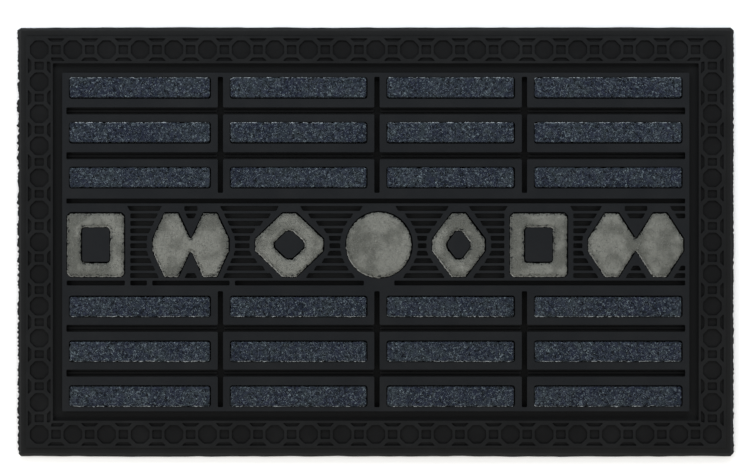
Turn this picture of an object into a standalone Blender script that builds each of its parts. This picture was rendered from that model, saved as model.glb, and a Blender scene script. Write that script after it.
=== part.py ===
"""Door mat: a moulded rubber base with felt inlays pressed into pockets in its face.

The base is one moulding: a bevelled edge band, a border chain of octagons, a sunk channel,
and a raised field with scraper grooves, felt pockets and a slotted middle band.
Metres, +Z up, +X along the length. The origin is the middle of the underside.
"""

from math import cos, pi, sin, sqrt

import bmesh
import bpy

# Overall sizes
MAT_LENGTH = 0.750
MAT_WIDTH = 0.450

# Heights above the floor
SHEET_TOP = 0.0040  # floor of the channel, the grooves and the felt pockets
BORDER_FLOOR = 0.0060  # edge band, and the floor of the chain's recesses
CHAIN_TOP = 0.0075
FIELD_TOP = 0.0085
FELT_TOP = 0.0097

# Edge band
EDGE_CHAMFER = 0.0035
EDGE_CORNER = 0.0032

# Border chain: octagons joined by squares, between two rails
CHAIN_INSET = 0.0228  # mat's edge to the chain's centreline, at the ends
CHAIN_INSET_SIDE = 0.0237  # the same along the long sides
OCTAGONS_LONG = 21  # along a long side, corners counted
OCTAGONS_SHORT = 13  # along a short side, corners counted
OCTAGON_ACROSS = 0.0196
CHAIN_LINE = 0.0028  # raised line between an octagon and a square
CHAIN_WIDTH = 0.0284  # over both rails
RAIL = 0.0023
SQUARE_ACROSS = 0.0097  # across the chain
WEDGE_INNER = 0.0081  # centreline to a wedge's short side
DIAGONAL = 0.0202  # an octagon's raised line reaches where |x| + |y| is this

# Channel and field
CHANNEL = 0.0100

# Felt panels: columns in the field, rows above and below the middle band
PAD_LENGTHS = (0.1480, 0.1435, 0.1340, 0.1550)
PAD_HEIGHT = 0.0222
PAD_GAP = 0.0203  # between neighbouring pads in a row
PAD_ROWS = 3  # in each block
ROW_PITCH = 0.0469
FIRST_ROW = 0.0668  # mat's centre to the middle of the nearest panel
PAD_SHIFT = 0.0006  # pads sit a little outward in their panels
PAD_CORNER = 0.0018

# Scraper grooves between the panels
ROW_GROOVE = 0.0074
COLUMN_GROOVE = 0.0056
GROOVE_MARGIN = 0.0042  # field's edge to the grooves' ends
COLUMN_GROOVE_OVERRUN = 0.0080  # past the nearest pads' edge, towards the band

# Slotted middle band
SLOT_ROWS = 12  # the first runs the whole width, and the last passes below the motifs
SLOT_PITCH = 0.0078
SLOT_HEIGHT = 0.0052
SLOT_SHORTEST = 0.0040
RIM = 0.0055  # plain rubber left round a motif
NOTCH_RIM = 0.0058  # the same within a notch
FOOT_RIM = 0.0030  # the least rubber between a motif and the last row of slots
FOOT_BREAKS = 2  # motifs, from -X, with a slot of their own below them
SLOT_SLANT = 0.0030  # the most a slot's end may lean to follow a motif

# Motifs in the band, from -X to +X: name, shape, width, and the gap before it
MOTIF_HEIGHT = 0.0679
DISC_HEIGHT = 0.0703  # the disc stands a little taller
MOTIF_Y = -0.0029  # the motifs' centreline
MOTIF_X = -0.00035  # middle of the whole line of motifs
MOTIFS = (
    ("motif_1_square_ring", "square", 0.0610, 0.0),
    ("motif_2_twin_lozenge", "twin", 0.0810, 0.0285),
    ("motif_3_lozenge_ring", "lozenge", 0.0725, 0.0264),
    ("motif_4_disc", "disc", 0.0703, 0.0223),
    ("motif_5_lozenge_ring", "lozenge", 0.0565, 0.0200),
    ("motif_6_square_ring", "square", 0.0610, 0.0250),
    ("motif_7_twin_lozenge", "twin", 0.1010, 0.0206),
)
STROKE = 0.0160
SQUARE_CORNER = 0.0036
LOZENGE_TIP = 0.0150  # flat at a lozenge's top and bottom
LOZENGE_SIDE = 0.0130  # flat at a lozenge's left and right
LOZENGE_HOLE = 0.42  # a lozenge ring's hole, as a share of its outline
DISC_SIDES = 28

CUT_OVERRUN = 0.0010  # how far a cut runs clear of the rubber

# Fits and underside
FIT = 0.0003  # felt to its pocket
TREAD_COLUMNS = 10
TREAD_ROWS = 6
TREAD_RIB = 0.0090
TREAD_RIM = 0.0180
TREAD_DEPTH = 0.0010

FIELD_LENGTH = MAT_LENGTH - 2 * (CHAIN_INSET + CHAIN_WIDTH / 2 + CHANNEL)
FIELD_WIDTH = MAT_WIDTH - 2 * (CHAIN_INSET_SIDE + CHAIN_WIDTH / 2 + CHANNEL)
BAND_HALF = (SLOT_ROWS - 1) / 2 * SLOT_PITCH

RUBBER = ((0.022, 0.023, 0.025), 0.62)
BLUE_FELT = ((0.036, 0.046, 0.066), 0.95)
GREY_FELT = ((0.19, 0.19, 0.185), 0.95)


def material(name, finish):
    colour, roughness = finish
    made = bpy.data.materials.new(name)
    made.use_nodes = True
    shader = made.node_tree.nodes["Principled BSDF"]
    shader.inputs["Base Color"].default_value = (*colour, 1)
    shader.inputs["Roughness"].default_value = roughness
    shader.inputs["Metallic"].default_value = 0
    return made


# Outlines. Each is a list of (x, y) points, and a plate is an outer loop with its holes.


def moved(loop, x, y):
    return [(px + x, py + y) for px, py in loop]


def rectangle(length, height, cut=0.0):
    """A rectangle about the origin, with its corners cut off where cut isn't 0."""
    x, y = length / 2, height / 2
    if not cut:
        return [(-x, -y), (x, -y), (x, y), (-x, y)]
    return [
        (-x + cut, -y),
        (x - cut, -y),
        (x, -y + cut),
        (x, y - cut),
        (x - cut, y),
        (-x + cut, y),
        (-x, y - cut),
        (-x, -y + cut),
    ]


def ellipse(length, height):
    """Points along an ellipse, anticlockwise."""
    angles = [2 * pi * i / DISC_SIDES for i in range(DISC_SIDES)]
    return [(length / 2 * cos(a), height / 2 * sin(a)) for a in angles]


def octagon(across):
    return rectangle(across, across, across * (1 - sqrt(0.5)))


def lozenge(length, height, tip, side):
    """A lozenge whose four points are cut flat."""
    x, y = length / 2, height / 2
    return [
        (-tip / 2, -y),
        (tip / 2, -y),
        (x, -side / 2),
        (x, side / 2),
        (tip / 2, y),
        (-tip / 2, y),
        (-x, side / 2),
        (-x, -side / 2),
    ]


def lozenge_reach(y, length):
    """Half the width of a lozenge at height y above its centre."""
    slant = (abs(y) - LOZENGE_SIDE / 2) / (MOTIF_HEIGHT / 2 - LOZENGE_SIDE / 2)
    return length / 2 + (LOZENGE_TIP / 2 - length / 2) * min(max(slant, 0), 1)


def twin_lozenge(length, height):
    """Two lozenges side by side, joined at the waist."""
    quarter, x, y = length / 4, length / 2, height / 2
    waist = LOZENGE_SIDE / 2
    upper = [
        (x, waist),
        (quarter + LOZENGE_TIP / 2, y),
        (quarter - LOZENGE_TIP / 2, y),
        (0, waist),
        (-quarter + LOZENGE_TIP / 2, y),
        (-quarter - LOZENGE_TIP / 2, y),
        (-x, waist),
    ]
    return upper + [(px, -py) for px, py in reversed(upper)]


def offset(loop, by):
    """A loop, running anticlockwise, moved outward by a distance, with mitred corners."""
    found = []
    for i, (x, y) in enumerate(loop):
        x0, y0 = loop[i - 1]
        x1, y1 = loop[(i + 1) % len(loop)]
        before, after = sqrt((x - x0) ** 2 + (y - y0) ** 2), sqrt((x1 - x) ** 2 + (y1 - y) ** 2)
        n0 = ((y - y0) / before, (x0 - x) / before)
        n1 = ((y1 - y) / after, (x - x1) / after)
        share = by / (1 + n0[0] * n1[0] + n0[1] * n1[1])
        found.append((x + (n0[0] + n1[0]) * share, y + (n0[1] + n1[1]) * share))
    return found


# Motifs: the felt's loops, and how far a motif and its hole reach at a height


def motif_felts(name, shape, length):
    """The felt pieces of a motif about its own centre: (name, outer loop, holes)."""
    height = motif_height(shape)
    if shape == "square":
        hole = rectangle(length - 2 * STROKE, height - 2 * STROKE, SQUARE_CORNER / 2)
        return [(name, rectangle(length, height, SQUARE_CORNER), [hole])]
    if shape == "disc":
        return [(name, ellipse(length, height), [])]
    if shape == "lozenge":
        outer = lozenge(length, height, LOZENGE_TIP, LOZENGE_SIDE)
        return [(name, outer, [[(x * LOZENGE_HOLE, y * LOZENGE_HOLE) for x, y in outer]])]
    return [(name, twin_lozenge(length, height), [])]


def motif_height(shape):
    return DISC_HEIGHT if shape == "disc" else MOTIF_HEIGHT


def outer_reach(shape, length, y):
    """Half the motif's width at height y above its centre, or None past its top and bottom."""
    if abs(y) > motif_height(shape) / 2:
        return None
    if shape == "square":
        return length / 2
    if shape == "disc":
        return length / 2 * sqrt(1 - (2 * y / DISC_HEIGHT) ** 2)
    if shape == "lozenge":
        return lozenge_reach(y, length)
    return length / 4 + lozenge_reach(y, length / 2)


def clear_reach(shape, length, y):
    """Half the width of the slots in the notches of a twin lozenge, at height y. Negative where
    there is no room for one, and for other shapes."""
    found = []
    for lean in (-1, -0.5, 0, 0.5, 1):
        at = y + lean * NOTCH_RIM
        if shape == "twin":
            at = min(abs(at), MOTIF_HEIGHT / 2)
            reach = length / 4 - lozenge_reach(at, length / 2)
        else:
            reach = 0
        found.append(reach - NOTCH_RIM * sqrt(1 - lean**2))
    return min(found)


def rim_reach(shape, length, y):
    """Half the width of a motif with the plain rubber round it, at height y. Past its top and
    bottom, that's the rubber between two slots."""
    found = [RIM / 2]
    for i in range(-8, 9):
        lean = i / 8
        reach = outer_reach(shape, length, y + lean * RIM)
        if reach is not None:
            found.append(reach + RIM * sqrt(1 - lean**2))
    return max(found)


def placed_motifs():
    """Each motif as (name, shape, width, x of its centre)."""
    found, x = [], MOTIF_X - sum(length + gap for _, _, length, gap in MOTIFS) / 2
    for name, shape, length, gap in MOTIFS:
        x += gap
        found.append((name, shape, length, x + length / 2))
        x += length
    return found


def slot(left, right, middle):
    """One slot's outline, if there's room for it. left and right give its ends at a height."""
    low, high = middle - SLOT_HEIGHT / 2, middle + SLOT_HEIGHT / 2
    starts, stops = [left(low), left(high)], [right(low), right(high)]
    starts = [max(x, max(starts) - SLOT_SLANT) for x in starts]
    stops = [min(x, min(stops) + SLOT_SLANT) for x in stops]
    if min(stops) - max(starts) < SLOT_SHORTEST:
        return []
    return [[(starts[0], low), (stops[0], low), (stops[1], high), (starts[1], high)]]


def slot_loops():
    """The band's slots: one above the motifs, and short ones beside, within and below them."""
    end = FIELD_LENGTH / 2 - GROOVE_MARGIN
    motifs = placed_motifs()
    loops = slot(lambda y: -end, lambda y: end, BAND_HALF)
    for i, (_, shape, length, x) in enumerate(motifs):
        _, next_shape, next_length, next_x = motifs[(i + 1) % len(motifs)]
        last = i + 1 == len(motifs)

        def left(y):
            return x + rim_reach(shape, length, y - MOTIF_Y)

        def right(y):
            return end if last else next_x - rim_reach(next_shape, next_length, y - MOTIF_Y)

        def hole(y):
            return clear_reach(shape, length, y - MOTIF_Y)

        for row in range(1, SLOT_ROWS - 1):
            middle = BAND_HALF - row * SLOT_PITCH
            loops += slot(left, right, middle)
            past = abs(middle - MOTIF_Y) - (motif_height(shape) + SLOT_HEIGHT) / 2
            if past < RIM:
                loops += slot(lambda y: x - hole(y), lambda y: x + hole(y), middle)
    return loops + foot_row(motifs, end)


def foot_row(motifs, end):
    """The last row's slots. They pass below a motif that leaves them room, and stop at others."""
    high = -BAND_HALF + SLOT_HEIGHT / 2 - MOTIF_Y
    starts, stops = [-end], []
    for i, (_, shape, length, x) in enumerate(motifs):
        if -high - motif_height(shape) / 2 < FOOT_RIM:
            reach = rim_reach(shape, length, high)
            stops.append(x - reach)
            starts.append(x + reach)
        elif i < FOOT_BREAKS:
            stops += [x - length / 2 - RIM, x + length / 2]
            starts += [x - length / 2, x + length / 2 + RIM]
    stops.append(end)
    loops = []
    for left, right in zip(starts, stops):
        loops += slot(lambda y: left, lambda y: right, -BAND_HALF)
    return loops


# Panels and grooves


def pad_centres():
    """The x of each pad's centre, from -X to +X, with its length."""
    x = -(sum(PAD_LENGTHS) + PAD_GAP * (len(PAD_LENGTHS) - 1)) / 2
    found = []
    for length in PAD_LENGTHS:
        found.append((x + length / 2, length))
        x += length + PAD_GAP
    return found


def groove_lattice(side):
    """The crossing grooves of one block of panels: the outline, and the panels it encloses.
    side is 1 above the band and -1 below it."""
    ends = FIELD_LENGTH / 2 - GROOVE_MARGIN
    low = FIRST_ROW - PAD_HEIGHT / 2 - COLUMN_GROOVE_OVERRUN + ROW_GROOVE / 2
    high = FIELD_WIDTH / 2 - GROOVE_MARGIN
    pads = pad_centres()
    columns = [x + length / 2 + PAD_GAP / 2 for x, length in pads[:-1]]
    half = COLUMN_GROOVE / 2
    rows = [FIRST_ROW + (i + 0.5) * ROW_PITCH for i in range(PAD_ROWS - 1)]
    edges = [(y - ROW_GROOVE / 2, y + ROW_GROOVE / 2) for y in rows]
    bottom, top = edges[0][0], edges[-1][1]
    outline = [(-ends, bottom)]
    for x in columns:
        outline += [(x - half, bottom), (x - half, low), (x + half, low), (x + half, bottom)]
    outline.append((ends, bottom))
    for below, above in zip(edges, edges[1:]):
        right = columns[-1] + half
        outline += [(ends, below[1]), (right, below[1]), (right, above[0]), (ends, above[0])]
    outline.append((ends, top))
    for x in reversed(columns):
        outline += [(x + half, top), (x + half, high), (x - half, high), (x - half, top)]
    outline.append((-ends, top))
    for below, above in reversed(list(zip(edges, edges[1:]))):
        left = columns[0] - half
        outline += [(-ends, above[0]), (left, above[0]), (left, below[1]), (-ends, below[1])]
    islands = []
    for below, above in zip(edges, edges[1:]):
        for x0, x1 in zip(columns, columns[1:]):
            x0, x1 = x0 + half, x1 - half
            islands.append([(x0, below[1]), (x1, below[1]), (x1, above[0]), (x0, above[0])])
    return [[(x, y * side) for x, y in loop] for loop in [outline, *islands]]


def placed_pads():
    """Every felt panel as (name, length, x, y), row 1 at the +Y edge."""
    found = []
    for block, side in enumerate((1, -1)):
        for i in range(PAD_ROWS):
            step = PAD_ROWS - 1 - i if side == 1 else i
            y = side * (FIRST_ROW + step * ROW_PITCH + PAD_SHIFT)
            row = block * PAD_ROWS + i + 1
            for column, (x, length) in enumerate(pad_centres(), 1):
                found.append((f"felt_panel_row{row}_col{column}", length, x, y))
    return found


# Border chain


def chain_loops():
    """The recesses of the border chain: octagons, with a square and two wedges between each.
    The four straight runs go anticlockwise, so across is positive towards the field."""
    loops = []
    x, y = MAT_LENGTH / 2 - CHAIN_INSET, MAT_WIDTH / 2 - CHAIN_INSET_SIDE
    corners = [(-x, -y), (x, -y), (x, y), (-x, y)]
    deep = CHAIN_WIDTH / 2 - RAIL
    for run, (start_x, start_y) in enumerate(corners):
        side = (1, 0, -1, 0)[run], (0, 1, 0, -1)[run]
        steps = (OCTAGONS_LONG if side[0] else OCTAGONS_SHORT) - 1
        pitch = 2 * (x if side[0] else y) / steps
        narrow, wide = pitch / 2 - DIAGONAL + WEDGE_INNER, pitch / 2 - DIAGONAL + deep
        square = pitch - OCTAGON_ACROSS - 2 * CHAIN_LINE
        for i in range(steps):
            # The wedges on the field's side stop short of the next run's at a corner
            stop = pitch / 2 - deep - RAIL / 2
            before, after = (wide if 0 < i else stop), (wide if i < steps - 1 else stop)
            link = [
                moved(octagon(OCTAGON_ACROSS), -pitch / 2, 0),
                rectangle(square, SQUARE_ACROSS),
                [(-narrow, WEDGE_INNER), (narrow, WEDGE_INNER), (after, deep), (-before, deep)],
                [(-wide, -deep), (wide, -deep), (narrow, -WEDGE_INNER), (-narrow, -WEDGE_INNER)],
            ]
            for loop in link:
                along = [((i + 0.5) * pitch + px, py) for px, py in loop]
                loops.append([
                    (start_x + side[0] * px - side[1] * py, start_y + side[1] * px + side[0] * py)
                    for px, py in along
                ])
    return loops


# Solids


def flat_shape(name, loops, bottom, top):
    """A plate cut to outlines: the first is its edge, and those inside are holes or islands."""
    curve = bpy.data.curves.new(name, "CURVE")
    curve.dimensions = "2D"
    curve.fill_mode = "BOTH"
    curve.extrude = (top - bottom) / 2
    for loop in loops:
        spline = curve.splines.new("POLY")
        spline.points.add(len(loop) - 1)
        for point, (x, y) in zip(spline.points, loop):
            point.co = (x, y, 0, 1)
        spline.use_cyclic_u = True
    outline = bpy.data.objects.new(name + "_outline", curve)
    bpy.context.scene.collection.objects.link(outline)
    outline.location.z = (top + bottom) / 2
    bpy.context.view_layer.update()
    graph = bpy.context.evaluated_depsgraph_get()
    mesh = bpy.data.meshes.new_from_object(outline.evaluated_get(graph))
    solid = bmesh.new()
    solid.from_mesh(mesh)
    bmesh.ops.remove_doubles(solid, verts=solid.verts, dist=1e-6)
    bmesh.ops.recalc_face_normals(solid, faces=solid.faces)
    # Even out the caps, since points in line leave some triangles with no area
    for z in (-curve.extrude, curve.extrude):
        cap = {f for f in solid.faces if all(abs(v.co.z - z) < 1e-7 for v in f.verts)}
        inside = [e for e in solid.edges if all(f in cap for f in e.link_faces)]
        bmesh.ops.beautify_fill(solid, faces=list(cap), edges=inside)
    solid.to_mesh(mesh)
    solid.free()
    shape = bpy.data.objects.new(name, mesh)
    shape.matrix_world = outline.matrix_world.copy()
    bpy.data.objects.remove(outline, do_unlink=True)
    return shape


def block(name, length, width, bottom, top):
    mesh = bpy.data.meshes.new(name)
    solid = bmesh.new()
    bmesh.ops.create_cube(solid, size=1)
    bmesh.ops.scale(solid, verts=solid.verts, vec=(length, width, top - bottom))
    bmesh.ops.translate(solid, verts=solid.verts, vec=(0, 0, (top + bottom) / 2))
    solid.to_mesh(mesh)
    solid.free()
    return bpy.data.objects.new(name, mesh)


def chamfered_slab(name):
    """The mat's body up to the border's floor, with cut corners and a chamfered top edge."""
    slab = block(name, MAT_LENGTH, MAT_WIDTH, 0, BORDER_FLOOR)
    solid = bmesh.new()
    solid.from_mesh(slab.data)
    upright = [e for e in solid.edges if abs(e.verts[0].co.z - e.verts[1].co.z) > SHEET_TOP]
    bmesh.ops.bevel(solid, geom=upright, offset=EDGE_CORNER, segments=1, affect="EDGES")
    upper = [e for e in solid.edges if min(v.co.z for v in e.verts) > SHEET_TOP]
    bmesh.ops.bevel(solid, geom=upper, offset=EDGE_CHAMFER, segments=1, affect="EDGES")
    solid.to_mesh(slab.data)
    solid.free()
    return slab


def combine(target, other, operation, helpers):
    """Joins a helper solid to target, or cuts target with it."""
    helpers.objects.link(other)
    other.hide_render = True
    other.display_type = "WIRE"
    modifier = target.modifiers.new(other.name, "BOOLEAN")
    modifier.operation = operation
    modifier.object = other
    modifier.solver = "EXACT"


def field_loops():
    """Every groove, pocket and slot in the field, and the rubber left standing in them."""
    loops = groove_lattice(1) + groove_lattice(-1) + slot_loops()
    for _, length, x, y in placed_pads():
        pocket = rectangle(length + 2 * FIT, PAD_HEIGHT + 2 * FIT, PAD_CORNER)
        loops.append(moved(pocket, x, y))
    for name, shape, length, x in placed_motifs():
        for _, outer, holes in motif_felts(name, shape, length):
            loops.append(moved(offset(outer, FIT), x, MOTIF_Y))
            loops += [moved(offset(hole, -FIT), x, MOTIF_Y) for hole in holes]
    return loops


def tread_loops():
    """The shallow cups under the mat."""
    pitch_x = (MAT_LENGTH - 2 * TREAD_RIM + TREAD_RIB) / TREAD_COLUMNS
    pitch_y = (MAT_WIDTH - 2 * TREAD_RIM + TREAD_RIB) / TREAD_ROWS
    loops = []
    for i in range(TREAD_COLUMNS):
        for j in range(TREAD_ROWS):
            x = (i - (TREAD_COLUMNS - 1) / 2) * pitch_x
            y = (j - (TREAD_ROWS - 1) / 2) * pitch_y
            loops.append(moved(rectangle(pitch_x - TREAD_RIB, pitch_y - TREAD_RIB), x, y))
    return loops


def rubber_base(helpers):
    """The whole rubber moulding: a slab with two raised blocks, cut down where it's sunk."""
    base = chamfered_slab("rubber_base")
    spine_x, spine_y = MAT_LENGTH - 2 * CHAIN_INSET, MAT_WIDTH - 2 * CHAIN_INSET_SIDE
    raised = block(
        "border_block", spine_x + CHAIN_WIDTH, spine_y + CHAIN_WIDTH, SHEET_TOP, CHAIN_TOP
    )
    field = block(
        "field_block", FIELD_LENGTH + CHANNEL, FIELD_WIDTH + CHANNEL, SHEET_TOP, FIELD_TOP
    )
    clear = FIELD_TOP + CUT_OVERRUN
    sides = [
        rectangle(spine_x - CHAIN_WIDTH, spine_y - CHAIN_WIDTH),
        rectangle(FIELD_LENGTH, FIELD_WIDTH),
    ]
    combine(base, raised, "UNION", helpers)
    combine(base, field, "UNION", helpers)
    for name, loops, bottom, top in (
        ("channel", sides, SHEET_TOP, clear),
        ("chain_recesses", chain_loops(), BORDER_FLOOR, clear),
        ("field_recesses", field_loops(), SHEET_TOP, clear),
        ("tread_cups", tread_loops(), -CUT_OVERRUN, TREAD_DEPTH),
    ):
        combine(base, flat_shape(name, loops, bottom, top), "DIFFERENCE", helpers)
    return base


def build():
    for obj in list(bpy.data.objects):
        bpy.data.objects.remove(obj, do_unlink=True)
    parts = bpy.data.collections.new("door_mat")
    helpers = bpy.data.collections.new("cutters")
    for group in (parts, helpers):
        bpy.context.scene.collection.children.link(group)
    blue, grey = material("blue_felt", BLUE_FELT), material("grey_felt", GREY_FELT)

    base = rubber_base(helpers)
    base.data.materials.append(material("rubber", RUBBER))
    parts.objects.link(base)
    for name, length, x, y in placed_pads():
        outline = moved(rectangle(length, PAD_HEIGHT, PAD_CORNER), x, y)
        pad = flat_shape(name, [outline], SHEET_TOP + FIT, FELT_TOP)
        pad.data.materials.append(blue)
        parts.objects.link(pad)
    for name, shape, length, x in placed_motifs():
        for piece, outer, holes in motif_felts(name, shape, length):
            outlines = [moved(loop, x, MOTIF_Y) for loop in [outer, *holes]]
            motif = flat_shape(piece, outlines, SHEET_TOP + FIT, FELT_TOP)
            motif.data.materials.append(grey)
            parts.objects.link(motif)


build()
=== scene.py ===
"""A moulded rubber door mat with needle-felt panels and shapes pressed into its face.

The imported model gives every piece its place. The rubber base keeps the moulding's own shape,
with its edges softened, and each felt piece is rebuilt as a fibrous slab in its own pocket.
"""

import math
import random

import bmesh
import bpy
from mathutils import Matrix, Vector, noise
from mathutils.bvhtree import BVHTree
from mathutils.kdtree import KDTree


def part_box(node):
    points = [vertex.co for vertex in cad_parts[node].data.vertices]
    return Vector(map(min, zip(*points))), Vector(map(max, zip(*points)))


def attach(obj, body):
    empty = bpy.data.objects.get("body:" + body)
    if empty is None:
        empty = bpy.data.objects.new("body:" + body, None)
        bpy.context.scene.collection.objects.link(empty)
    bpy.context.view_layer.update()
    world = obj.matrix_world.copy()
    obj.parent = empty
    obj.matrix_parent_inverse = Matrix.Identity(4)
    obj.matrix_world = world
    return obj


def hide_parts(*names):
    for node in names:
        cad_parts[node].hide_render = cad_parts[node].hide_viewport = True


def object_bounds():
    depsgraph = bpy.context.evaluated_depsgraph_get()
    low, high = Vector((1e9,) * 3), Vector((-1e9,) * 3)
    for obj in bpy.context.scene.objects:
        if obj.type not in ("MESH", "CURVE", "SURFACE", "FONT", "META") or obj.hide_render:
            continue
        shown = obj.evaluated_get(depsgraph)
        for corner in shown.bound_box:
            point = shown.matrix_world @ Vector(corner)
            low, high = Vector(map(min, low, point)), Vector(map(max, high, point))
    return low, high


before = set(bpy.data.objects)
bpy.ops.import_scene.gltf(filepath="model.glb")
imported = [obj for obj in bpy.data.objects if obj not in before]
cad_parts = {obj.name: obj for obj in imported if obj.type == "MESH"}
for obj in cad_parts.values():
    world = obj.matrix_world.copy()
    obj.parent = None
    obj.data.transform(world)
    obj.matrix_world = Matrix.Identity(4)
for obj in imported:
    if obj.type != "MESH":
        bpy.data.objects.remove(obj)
cad_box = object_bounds()

# ------------------------------------------------------------------------------------------
# Rubber base. One compression moulding of black crumb rubber: an edge band, a border chain,
# a sunk channel and a raised field. It leaves the mould with rounded edges, and its rim is
# trimmed with a blade, which leaves the two ends slightly ragged.

FLOOR = 0.0040  # of the channel, the grooves and the pockets
RIM_TOP = 0.0026  # foot of the edge band's chamfer
CHAIN_TOP = 0.0075
ROUNDED_EDGE = 0.0005
ROUNDED_CORNER = 0.0012
AT_RIM = 0.0001  # a point this near the mat's outline is on its rim
LONG_SIDE_STEP = 0.0030  # between the rim's points along a long side
END_STEP = 0.0010  # the same along an end
RAGGED = 0.0021  # at most twice the depth of the nicks in the left end; the right has half
SIDE_RAGGED = 0.25  # share of that along the two long sides
DRAWN_IN = 0.0009  # a long side comes in by 0.4 of this at its middle, by 0.6 of it at its
STRAIGHT_AT = 0.6  # corners, and by nothing where the cosine of its bow is this

GROOVE_RIB = 0.0034
RIB_TOP = 0.0050
RIB_ROOT = 0.0010  # how far a rib reaches down into the floor
RIB_ROUNDED = 0.0009
RIB_REACH = 0.3235  # from the middle to the ribs' outer ends
CROSSING = 0.0036  # middle of a crossing groove to a rib's end
PAD_SHIFT = 0.0006  # a felt panel sits this far outward of its row's middle

EDGE_BAND = 0.0090  # mat's outline to the border chain
FIELD_END = 0.0480  # mat's end to the raised field
FIELD_SIDE = 0.0500  # mat's long side to the grooves' ends
BAND_HALF = 0.0406  # mat's centreline to the edge of the middle band's slots
BLOCK_START = 0.0472  # mat's centreline to the blocks of panels

# Painted shade blackens the hollows; greyer where shoes and handling rub it, and in painted
# highlights
SUNK_SHADE = (0.0040, 0.0043, 0.0046, 1)
SLOT_SHADE = (0.0165, 0.0172, 0.0175, 1)
CROSS_GROOVE_SHADE = (0.0009, 0.0010, 0.0010, 1)
DISC_SHADE = (0.0030, 0.0031, 0.0034, 1)
BAND = (0.0080, 0.0083, 0.0085, 1)
CHAIN = (0.0062, 0.0066, 0.0070, 1)
FIELD = (0.0082, 0.0093, 0.0109, 1)
RUBBED_AND_HIGHLIGHT = (0.0165, 0.0172, 0.0178, 1)


def merged(node):
    """A bmesh of a node's solid, with its loose triangles joined into flat faces."""
    solid = bmesh.new()
    solid.from_mesh(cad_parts[node].data)
    bmesh.ops.remove_doubles(solid, verts=solid.verts, dist=1e-6)
    bmesh.ops.dissolve_limit(
        solid, angle_limit=math.radians(1), verts=solid.verts, edges=solid.edges
    )
    return solid


def finished(name, solid, look, stands_for):
    """The object of a finished bmesh, in place of its CAD node."""
    mesh = bpy.data.meshes.new(name)
    solid.to_mesh(mesh)
    solid.free()
    mesh.materials.append(look)
    made = bpy.data.objects.new(name, mesh)
    bpy.context.scene.collection.objects.link(made)
    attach(made, "root")
    if stands_for:
        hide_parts(stands_for)
    return made


def each_once(elements):
    """The elements in the order they come in, without the repeats."""
    return list(dict.fromkeys(elements))


def is_flat(edge):
    return abs(edge.verts[0].co.z - edge.verts[1].co.z) < 1e-6


def at_rim(vert):
    return vert.co.z < RIM_TOP and (abs(vert.co.x) > end_x or abs(vert.co.y) > end_y)


class Value:
    """A number that varies over a surface: one socket of a shader node, with arithmetic."""

    def __init__(self, shading, socket):
        self.shading = shading
        self.socket = socket

    def __add__(self, other):
        return self.shading.math("ADD", self, other)

    def __sub__(self, other):
        return self.shading.math("SUBTRACT", self, other)

    def __rsub__(self, other):
        return self.shading.math("SUBTRACT", other, self)

    def __mul__(self, other):
        return self.shading.math("MULTIPLY", self, other)

    __radd__ = __add__
    __rmul__ = __mul__

    def between(self, low, high):
        """0 up to low and 1 from high, with a soft step between them."""
        limits = {"Value": self, "From Min": low, "From Max": high}
        return self.shading.node("MapRange", {"interpolation_type": "SMOOTHSTEP"}, limits)


class Shading:
    """One material's nodes, which end in its Principled shader."""

    def __init__(self, name, **constants):
        self.material = bpy.data.materials.new(name)
        self.material.use_nodes = True
        self.tree = self.material.node_tree
        self.shader = self.tree.nodes["Principled BSDF"]
        for socket, value in constants.items():
            self.shader.inputs[socket.replace("_", " ")].default_value = value
        self.place = self.node("TexCoord", out="Object")

    def node(self, kind, settings=(), sockets=(), out=0):
        """A new node, its settings set first, with numbers, colours or links in its sockets."""
        made = self.tree.nodes.new("ShaderNode" + kind)
        for name, value in dict(settings).items():
            setattr(made, name, value)
        for name, value in dict(sockets).items():
            if isinstance(value, Value):
                self.tree.links.new(value.socket, made.inputs[name])
            else:
                made.inputs[name].default_value = value
        return Value(self, made.outputs[out])

    def math(self, operation, *values):
        return self.node("Math", {"operation": operation}, dict(enumerate(values)))

    def noise(self, scale, detail=3.0, roughness=0.55, distortion=0.0, offset=0.0):
        """Noise from 0 to 1 with features 1 / scale metres across."""
        where = self.node("VectorMath", {"operation": "ADD"}, {0: self.place, 1: (offset,) * 3})
        sockets = {"Vector": where, "Scale": scale, "Detail": detail}
        sockets |= {"Roughness": roughness, "Distortion": distortion}
        return self.node("TexNoise", {}, sockets)

    def mix(self, share, first, second):
        """A colour from first to second, as share goes from 0 to 1."""
        return self.node("Mix", {"data_type": "RGBA"}, {0: share, 6: first, 7: second}, out=2)

    def set(self, socket, value):
        self.tree.links.new(value.socket, self.shader.inputs[socket])

    def bump(self, relief, depth):
        """Relief of this depth in metres, where relief goes from 0 to 1."""
        self.set("Normal", self.node("Bump", {}, {"Height": relief * depth, "Distance": 1.0}))


rubber = Shading("black_rubber", Specular_IOR_Level=0.12)
across = rubber.node("SeparateXYZ", {}, {0: rubber.place}, out=0)
along = rubber.node("SeparateXYZ", {}, {0: rubber.place}, out=1)
height = rubber.node("SeparateXYZ", {}, {0: rubber.place}, out=2)
from_middle = rubber.math("ABSOLUTE", along)
end_gap = cad_box[1].x - rubber.math("ABSOLUTE", across)
side_gap = cad_box[1].y - from_middle
edge_gap = rubber.math("MINIMUM", end_gap, side_gap)
in_chain = edge_gap.between(EDGE_BAND - 0.0004, EDGE_BAND + 0.0004)
# Faces of the rounded edges, which take a painted highlight
rounded_highlight = rubber.node("Attribute", {"attribute_name": "rounded"}, out="Fac")
bloom = rubber.noise(22, detail=5, roughness=0.65).between(0.35, 0.75)
crumbs = rubber.noise(1300, detail=4, roughness=0.7)
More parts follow.
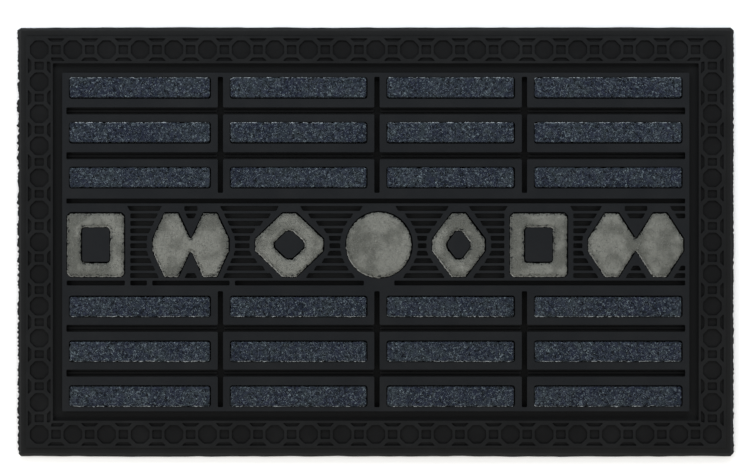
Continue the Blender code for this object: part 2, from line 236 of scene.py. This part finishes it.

# Painted shade on the hollows' floors is paler in the middle band's slots and blackest in the cross
# grooves
in_band = from_middle.between(BAND_HALF + 0.0006, BAND_HALF - 0.0006)
in_band = in_band * end_gap.between(FIELD_END - 0.0010, FIELD_END + 0.0010)
colour = rubber.mix(in_band, SUNK_SHADE, SLOT_SHADE)
row_boxes = [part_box(f"felt_panel_row1_col{column}") for column in range(1, 5)]
crossings = [(left[1].x + right[0].x) / 2 for left, right in zip(row_boxes, row_boxes[1:])]
from_groove = 1.0
for crossing in crossings:
    distance = rubber.math("ABSOLUTE", across - crossing)
    from_groove = rubber.math("MINIMUM", distance, from_groove)
in_block = from_middle.between(BLOCK_START - 0.0006, BLOCK_START + 0.0006)
in_block = in_block * side_gap.between(FIELD_SIDE - 0.0005, FIELD_SIDE + 0.0005)
in_groove = from_groove.between(CROSSING, CROSSING - 0.0008)
colour = rubber.mix(in_groove * in_block, colour, CROSS_GROOVE_SHADE)

# Each raised part takes its own tone over from the one below it; the floors and discs keep painted
# shade
colour = rubber.mix(height.between(0.0045, 0.0058), colour, BAND)
colour = rubber.mix(in_chain * height.between(0.0048, 0.0056), colour, DISC_SHADE)
colour = rubber.mix(in_chain * height.between(0.0068, 0.0074), colour, CHAIN)
colour = rubber.mix(height.between(0.0078, 0.0084), colour, FIELD)

# Painted highlights along the outline and on the rounded edges; wear on what stands up and in the
# grain
colour = rubber.mix(edge_gap.between(0.0045, 0.0020) * 0.5, colour, RUBBED_AND_HIGHLIGHT)
colour = rubber.mix(bloom * height.between(FLOOR, CHAIN_TOP) * 0.35, colour, RUBBED_AND_HIGHLIGHT)
colour = rubber.mix(crumbs.between(0.58, 0.78) * 0.3, colour, RUBBED_AND_HIGHLIGHT)
colour = rubber.mix(rounded_highlight * (0.1 + bloom * 0.3), colour, RUBBED_AND_HIGHLIGHT)
rubber.set("Base Color", colour)
rubber.set("Roughness", 0.55 + crumbs * 0.25)
rubber.bump(crumbs, 0.00012)

moulding = merged("rubber_base")
# Marks the rounded edges' faces for their painted highlight
rounded_layer = moulding.faces.layers.float.new("rounded")
end_x, end_y = cad_box[1].x - AT_RIM, cad_box[1].y - AT_RIM
for axis, spacing in ((0, LONG_SIDE_STEP), (1, END_STEP)):
    # The rim of the two long sides runs along X, and that of the ends along Y
    rim = [e for e in moulding.edges if is_flat(e) and all(at_rim(v) for v in e.verts)]
    rim = [e for e in rim if abs(e.verts[0].co[axis] - e.verts[1].co[axis]) > 0.1]
    cuts = round(2 * cad_box[1][axis] / spacing)
    bmesh.ops.subdivide_edges(moulding, edges=rim, cuts=cuts)
for vert in filter(at_rim, moulding.verts):
    if abs(vert.co.x) > end_x:
        spot = Vector((vert.co.y * 430, 0, vert.co.x * 7))
        vert.co.x += noise.noise(spot) * (RAGGED if vert.co.x < 0 else RAGGED / 2)
    else:
        spot = Vector((vert.co.x * 60, 9.1, vert.co.y * 7))
        drawn_in = DRAWN_IN * abs(math.cos(vert.co.x / end_x * math.pi / 2) - STRAIGHT_AT)
        ragged = noise.noise(spot) * RAGGED * SIDE_RAGGED
        vert.co.y += ragged - math.copysign(drawn_in, vert.co.y)

corners = [e for e in moulding.edges if not is_flat(e) and e.verts[0].co.xy == e.verts[1].co.xy]
corners = [e for e in corners if max(v.co.z for v in e.verts) > CHAIN_TOP - 1e-5]
bmesh.ops.bevel(
    moulding, geom=corners, offset=ROUNDED_CORNER, segments=2, profile=0.5, affect="EDGES",
    clamp_overlap=True, material=-1,
)
moulding.normal_update()
tops = [e for e in moulding.edges if is_flat(e) and e.verts[0].co.z > RIM_TOP - 0.0002]
tops = [e for e in tops if e.is_manifold and e.calc_face_angle_signed() > math.radians(30)]
rounded = bmesh.ops.bevel(
    moulding, geom=tops, offset=ROUNDED_EDGE, segments=2, profile=0.5, affect="EDGES",
    clamp_overlap=True, material=-1,
)["faces"]
for face in rounded:
    face[rounded_layer] = 1


def add_rib(length_x, length_y, x, y):
    """A low round-topped rib on the floor of a groove."""
    cube = bmesh.ops.create_cube(moulding, size=1)["verts"]
    bmesh.ops.scale(moulding, verts=cube, vec=(length_x, length_y, RIB_TOP - FLOOR + RIB_ROOT))
    bmesh.ops.translate(moulding, verts=cube, vec=(x, y, (RIB_TOP + FLOOR - RIB_ROOT) / 2))
    upper = [e for v in cube for e in v.link_edges if min(w.co.z for w in e.verts) > FLOOR]
    bmesh.ops.bevel(
        moulding, geom=each_once(upper), offset=RIB_ROUNDED, segments=2, profile=0.5, affect="EDGES",
        clamp_overlap=True, material=-1,
    )


# A rib lies in each long groove between two rows, and stops short of the grooves that cross it
row_y = [sum(corner.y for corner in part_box(f"felt_panel_row{row}_col1")) / 2 for row in range(1, 7)]
for row in (1, 2, 4, 5):
    halfway = (row_y[row - 1] + row_y[row]) / 2
    groove = halfway - math.copysign(PAD_SHIFT, halfway)
    ends = [-RIB_REACH - CROSSING] + crossings + [RIB_REACH + CROSSING]
    for left, right in zip(ends, ends[1:]):
        add_rib(right - left - 2 * CROSSING, GROOVE_RIB, (left + right) / 2, groove)

base = finished("moulded_base", moulding, rubber.material, "rubber_base")
base.data.shade_smooth()
base.data.set_sharp_from_angle(angle=math.radians(50))
flatten = base.modifiers.new("Weighted normals", "WEIGHTED_NORMAL")
flatten.keep_sharp = True
flatten.weight = 100

# ------------------------------------------------------------------------------------------
# Blue felt panels. Twenty-four strips die-cut from heather needle felt, navy and slate fibres
# with some pale ones, and pressed into their pockets, so they stand proud with soft edges.

FELT_GRAIN = 0.00065  # spacing of the surface's points
FELT_FOOT = 0.0043  # its underside, just clear of the pocket's floor
FELT_EDGE = 0.0086  # loose fibres stop where the felt's edge rounds down to here
FELT_WAIST = 0.0068  # the felt is plain below here, where its pocket hides it
FELT_GAP = 0.0007  # to the pocket's wall, on average
FELT_LEAN = 0.0007  # how far a felt sits off centre in its pocket
FELT_NIBBLED = 0.0014  # at most twice the depth of the outline's nicks
FELT_LUMPS = 0.00028  # the face's coarse unevenness
FELT_GRIT = 0.00018  # and its fine unevenness
FELT_FRAYED = 0.0005  # along the border only


def felt_slab(node, lean, border, drop):
    """The bmesh of a felt piece: lumpy above its waist, where its border rounds down by drop,
    and plain below. It sits off centre in its pocket, and the edge it leans to, the side its
    near light comes from, is marked for fluffed fibres with a painted highlight."""
    blank = merged(node)
    for vert in blank.verts:
        vert.co.z = max(vert.co.z, FELT_WAIST)
    mesh = bpy.data.meshes.new(node + "_blank")
    blank.to_mesh(mesh)
    blank.free()
    holder = bpy.data.objects.new(node + "_blank", mesh)
    bpy.context.scene.collection.objects.link(holder)
    remesh = holder.modifiers.new("Remesh", "REMESH")
    remesh.mode = "VOXEL"
    remesh.voxel_size = FELT_GRAIN
    graph = bpy.context.evaluated_depsgraph_get()
    felt = bmesh.new()
    felt.from_mesh(holder.evaluated_get(graph).to_mesh())
    bpy.data.objects.remove(holder)
    inside = felt.verts.layers.float.new("inside")
    fluff_and_highlight = felt.verts.layers.float.new("fluff_and_highlight")
    bottom = [f for f in felt.faces if all(v.co.z < FELT_WAIST + FELT_GRAIN / 4 for v in f.verts)]
    bmesh.ops.dissolve_limit(
        felt, angle_limit=math.radians(5), verts=each_once(v for f in bottom for v in f.verts),
        edges=each_once(e for f in bottom for e in f.edges),
    )
    felt.normal_update()
    wall = [v.co for v in felt.verts if abs(v.normal.z) < 0.4 and v.co.z > FELT_WAIST]
    outline = KDTree(len(wall))
    for number, (x, y, _) in enumerate(wall):
        outline.insert((x, y, 0), number)
    outline.balance()
    upper = [v for v in felt.verts if v.co.z > FELT_WAIST + FELT_GRAIN]
    for vert in upper:
        _, _, reach = outline.find((vert.co.x, vert.co.y, 0))
        vert[inside] = min(reach / border, 1)
        vert.co.z -= drop * (1 - vert[inside]) ** 2
    for _ in range(3):
        bmesh.ops.smooth_vert(
            felt, verts=upper, factor=0.5, use_axis_x=True, use_axis_y=True, use_axis_z=True
        )
    felt.normal_update()
    for vert in felt.verts:
        facing = vert.normal.xy.dot(lean)
        vert[fluff_and_highlight] = max(facing, 0)
        nibbled = max(noise.noise(Vector((vert.co.x, vert.co.y, 0)) * 300), 0) * FELT_NIBBLED
        vert.co.xy -= vert.normal.xy * (FELT_GAP - FELT_LEAN * facing + nibbled)
    for vert in upper:
        spot = vert.co
        lumps = noise.noise(spot * 420) * FELT_LUMPS + noise.noise(spot * 1100) * FELT_GRIT
        frayed = noise.noise(spot * 800) * FELT_FRAYED * (1 - vert[inside])
        vert.co += vert.normal * (lumps + frayed)
    for vert in felt.verts:
        if vert.co.z < FELT_WAIST + FELT_GRAIN / 2:
            vert.co.z = FELT_FOOT
    felt.normal_update()
    return felt


FIBRE_SPACING = 0.0019
FIBRE_RADIUS = 0.00006
FIBRE_LIFTS = (-0.00004, 0.00010, 0.00012, -0.00004)  # its ends dip into the felt


def loose_fibres(name, felt, spacing, seed):
    """Curled fibres lying over a felt's face, with a random shade for each."""
    face = BVHTree.FromBMesh(felt)
    rng = random.Random(seed)
    feet = [v.co.copy() for v in felt.verts if v.normal.z > 0.3 and v.co.z > FELT_WAIST]
    count = round(len(feet) * FELT_GRAIN**2 / spacing**2)
    curve = bpy.data.curves.new(name, "CURVE")
    curve.dimensions = "3D"
    curve.bevel_depth = FIBRE_RADIUS
    curve.bevel_resolution = 0
    curve.use_fill_caps = True
    while len(curve.splines) < count:
        x, y, _ = rng.choice(feet)
        heading = rng.uniform(0, 2 * math.pi)
        curl = rng.uniform(-1.3, 1.3)
        step = rng.uniform(0.0004, 0.0011)
        path = []
        for lift in FIBRE_LIFTS:
            hit = face.ray_cast(Vector((x, y, 0.02)), Vector((0, 0, -1)))[0]
            if hit and hit.z > FELT_EDGE:
                path += (x, y, hit.z + lift, 1)
            x += step * math.cos(heading)
            y += step * math.sin(heading)
            heading += curl
        if len(path) == 4 * len(FIBRE_LIFTS):
            spline = curve.splines.new("POLY")
            spline.points.add(len(FIBRE_LIFTS) - 1)
            spline.points.foreach_set("co", path)
    holder = bpy.data.objects.new(name, curve)
    bpy.context.scene.collection.objects.link(holder)
    graph = bpy.context.evaluated_depsgraph_get()
    mesh = bpy.data.meshes.new_from_object(holder.evaluated_get(graph))
    bpy.data.objects.remove(holder)
    shade = mesh.attributes.new("shade", "FLOAT", "POINT")
    each = len(mesh.vertices) // count
    values = []
    for _ in range(count):
        values += [rng.random()] * each
    shade.data.foreach_set("value", values)
    fibres = bpy.data.objects.new(name, mesh)
    bpy.context.scene.collection.objects.link(fibres)
    return fibres


NAVY = (0.0090, 0.0130, 0.0235, 1)
SLATE = (0.0240, 0.0325, 0.0385, 1)
VIOLET = (0.018, 0.021, 0.039, 1)
BLUE_PALE = (0.16, 0.20, 0.225, 1)
BLUE_SHADOW = (0.002, 0.003, 0.004, 1)
BLUE_LIT_FRINGE = (0.42, 0.46, 0.48, 1)

blue = Shading("blue_heather_felt", Roughness=0.95, Specular_IOR_Level=0.1, Sheen_Weight=0.05)
clouds = blue.noise(45, detail=3, roughness=0.6).between(0.35, 0.65)
tint = blue.noise(110, detail=3, offset=4.0).between(0.35, 0.65)
tufts = blue.noise(320, detail=6, roughness=0.6, distortion=0.8, offset=7.0)
flecks = blue.noise(420, detail=5, roughness=0.6, distortion=1.6, offset=11.0)
inside = blue.node("Attribute", {"attribute_name": "inside"}, out="Fac")
fluff_and_highlight = blue.node("Attribute", {"attribute_name": "fluff_and_highlight"}, out="Fac")
colour = blue.mix(clouds, NAVY, SLATE)
colour = blue.mix(tint * 0.6, colour, VIOLET)
colour = blue.mix(tufts.between(0.52, 0.40) * 0.9, colour, BLUE_SHADOW)
colour = blue.mix(flecks.between(0.53, 0.68) * 0.85, colour, BLUE_PALE)
colour = blue.mix(inside.between(0.6, 0.0) * 0.4, colour, BLUE_SHADOW)
# Fluffed fibres with a painted highlight on the edge each felt leans to, its lit side
lit_fringe = fluff_and_highlight.between(0.55, 0.80) * tufts.between(0.42, 0.58) * tint.between(0.1, 0.8)
colour = blue.mix(lit_fringe * 0.9, colour, BLUE_LIT_FRINGE)
blue.set("Base Color", colour)
blue.bump(tufts * 0.7 + flecks * 0.3, 0.0008)

NAVY_FIBRE = (0.008, 0.010, 0.020, 1)
SLATE_FIBRE = (0.035, 0.045, 0.060, 1)
PALE_FIBRE = (0.22, 0.25, 0.28, 1)

blue_fibre = Shading("blue_felt_fibre", Roughness=0.8, Specular_IOR_Level=0.15)
shade = blue_fibre.node("Attribute", {"attribute_name": "shade"}, out="Fac")
colour = blue_fibre.mix(shade.between(0.2, 0.5), NAVY_FIBRE, SLATE_FIBRE)
colour = blue_fibre.mix(shade.between(0.75, 0.95), colour, PALE_FIBRE)
blue_fibre.set("Base Color", colour)

BLUE_BORDER = 0.0030  # width of the edge that rounds down
BLUE_DROP = 0.0007
ROW_LEAN = (1, 1, 0.3, -1, -1, -1)  # the side of its pocket that each row leans to

for row in range(1, 7):
    for column in range(1, 5):
        node = f"felt_panel_row{row}_col{column}"
        felt = felt_slab(node, Vector((-0.5, ROW_LEAN[row - 1])), BLUE_BORDER, BLUE_DROP)
        fibres = loose_fibres(node + "_fibres", felt, FIBRE_SPACING, seed=10 * row + column)
        fibres.data.materials.append(blue_fibre.material)
        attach(fibres, "root")
        panel = finished(node + "_felt", felt, blue.material, node)
        panel.data.shade_smooth()

# ------------------------------------------------------------------------------------------
# Grey felt shapes. Seven plain geometric shapes, die-cut from pale grey needle felt, fill the
# middle band. Each is pressed into a pocket of its own, and its edges round down further.

GREY_BORDER = 0.0060
GREY_DROP = 0.0012
GREY_LEAN = (-0.6, -0.8)

GREY_DULL = (0.103, 0.105, 0.093, 1)
GREY_BRIGHT = (0.183, 0.185, 0.166, 1)
GREY_TUFT = (0.28, 0.283, 0.26, 1)
GREY_SHADOW = (0.050, 0.053, 0.048, 1)
GREY_LIT_FRINGE = (0.36, 0.365, 0.35, 1)
DARK_SPECK = (0.007, 0.008, 0.009, 1)

grey = Shading("pale_grey_felt", Roughness=0.95, Specular_IOR_Level=0.1, Sheen_Weight=0.05)
clouds = grey.noise(52, detail=2, roughness=0.45).between(0.36, 0.64)
tufts = grey.noise(330, detail=6, roughness=0.7, distortion=0.6, offset=3.0)
specks = grey.noise(340, detail=2, roughness=0.5, distortion=0.8, offset=9.0)
inside = grey.node("Attribute", {"attribute_name": "inside"}, out="Fac")
fluff_and_highlight = grey.node("Attribute", {"attribute_name": "fluff_and_highlight"}, out="Fac")
near_border = inside.between(0.85, 0.15)
colour = grey.mix(clouds, GREY_DULL, GREY_BRIGHT)
colour = grey.mix(tufts.between(0.54, 0.36) * 0.15, colour, GREY_SHADOW)
colour = grey.mix(tufts.between(0.57, 0.70) * 0.5, colour, GREY_TUFT)
# Painted shade darkens the border
colour = grey.mix(near_border * 0.45, colour, GREY_SHADOW)
# Dark specks, most of them near the border
colour = grey.mix(specks.between(0.57, 0.60) * (0.04 + near_border * 0.96), colour, DARK_SPECK)
# Fluffed fibres with a painted highlight on the lower left edges, which face the light
lit_fringe = fluff_and_highlight.between(0.3, 0.8) * tufts.between(0.36, 0.56)
colour = grey.mix(lit_fringe * 0.9, colour, GREY_LIT_FRINGE)
grey.set("Base Color", colour)
grey.bump(tufts, 0.0007)

DULL_FIBRE = (0.08, 0.083, 0.076, 1)
BRIGHT_FIBRE = (0.22, 0.225, 0.21, 1)

grey_fibre = Shading("grey_felt_fibre", Roughness=0.8, Specular_IOR_Level=0.15)
shade = grey_fibre.node("Attribute", {"attribute_name": "shade"}, out="Fac")
colour = grey_fibre.mix(shade.between(0.1, 0.6), DULL_FIBRE, BRIGHT_FIBRE)
grey_fibre.set("Base Color", colour)

motifs = sorted(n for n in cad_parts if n.startswith("motif"))
for number, node in enumerate(motifs):
    blank = merged(node)
    cut_area = sum(f.calc_area() for f in blank.faces if f.normal.z > 0.9)
    blank.free()
    felt = felt_slab(node, Vector(GREY_LEAN), GREY_BORDER, GREY_DROP)
    fibres = loose_fibres(node + "_fibres", felt, FIBRE_SPACING, seed=100 + number)
    fibres.data.materials.append(grey_fibre.material)
    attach(fibres, "root")
    shape = finished(node + "_felt", felt, grey.material, node)
    shape.data.shade_smooth()

# ------------------------------------------------------------------------------------------
# Studio. The mat lies on a white floor, seen from straight above. Two long soft lights stand
# beyond its long sides and two weaker ones beyond its ends, under a white room.

CAMERA_HEIGHT = 3.0
VIEW_WIDTH = 0.7826  # of floor, across the picture
AIM_X = -0.0029  # the mat lies a little right of the picture's middle
AIM_Y = 0.0068  # and a little below it
FLOOR_UNDER = 0.0002  # the floor's depth below the mat's underside
WHITE = (0.98, 0.98, 0.98, 1)
ROOM_GLOW = 0.30

floor_mesh = bpy.data.meshes.new("floor")
plane = bmesh.new()
bmesh.ops.create_grid(plane, x_segments=1, y_segments=1, size=4)
bmesh.ops.translate(plane, verts=plane.verts, vec=(0, 0, -FLOOR_UNDER))
plane.to_mesh(floor_mesh)
plane.free()
floor = bpy.data.objects.new("floor", floor_mesh)
bpy.context.scene.collection.objects.link(floor)
paper = Shading("white_floor", Roughness=0.9, Base_Color=WHITE)
floor_mesh.materials.append(paper.material)


def soft_light(name, power, size, place, colour=(1, 1, 1)):
    lamp = bpy.data.lights.new(name, "AREA")
    lamp.shape = "RECTANGLE"
    lamp.size, lamp.size_y = size
    lamp.energy = power
    lamp.color = colour
    holder = bpy.data.objects.new(name, lamp)
    bpy.context.scene.collection.objects.link(holder)
    holder.location = place
    aim = Vector((0, 0, 0)) - holder.location
    holder.rotation_euler = aim.to_track_quat("-Z", "Y").to_euler()


soft_light("back_light", 10.2, (1.8, 0.4), (0, 0.80, 0.48), (0.90, 0.95, 1.0))
soft_light("front_light", 7.2, (1.8, 0.4), (0, -0.80, 0.48), (1.0, 0.98, 0.93))
soft_light("left_light", 6.3, (0.4, 1.0), (-1.15, 0, 0.45))
soft_light("right_light", 4.1, (0.4, 1.0), (1.15, 0, 0.45))

world = bpy.data.worlds.new("white_room")
world.use_nodes = True
world.node_tree.nodes["Background"].inputs["Color"].default_value = (1, 1, 1, 1)
world.node_tree.nodes["Background"].inputs["Strength"].default_value = ROOM_GLOW
bpy.context.scene.world = world
bpy.context.scene.view_settings.view_transform = "Standard"

lens = bpy.data.cameras.new("camera")
lens.sensor_width = 36
lens.lens = lens.sensor_width * CAMERA_HEIGHT / VIEW_WIDTH
camera = bpy.data.objects.new("camera", lens)
camera.location = (AIM_X, AIM_Y, CAMERA_HEIGHT)
bpy.context.scene.collection.objects.link(camera)
bpy.context.scene.camera = camera
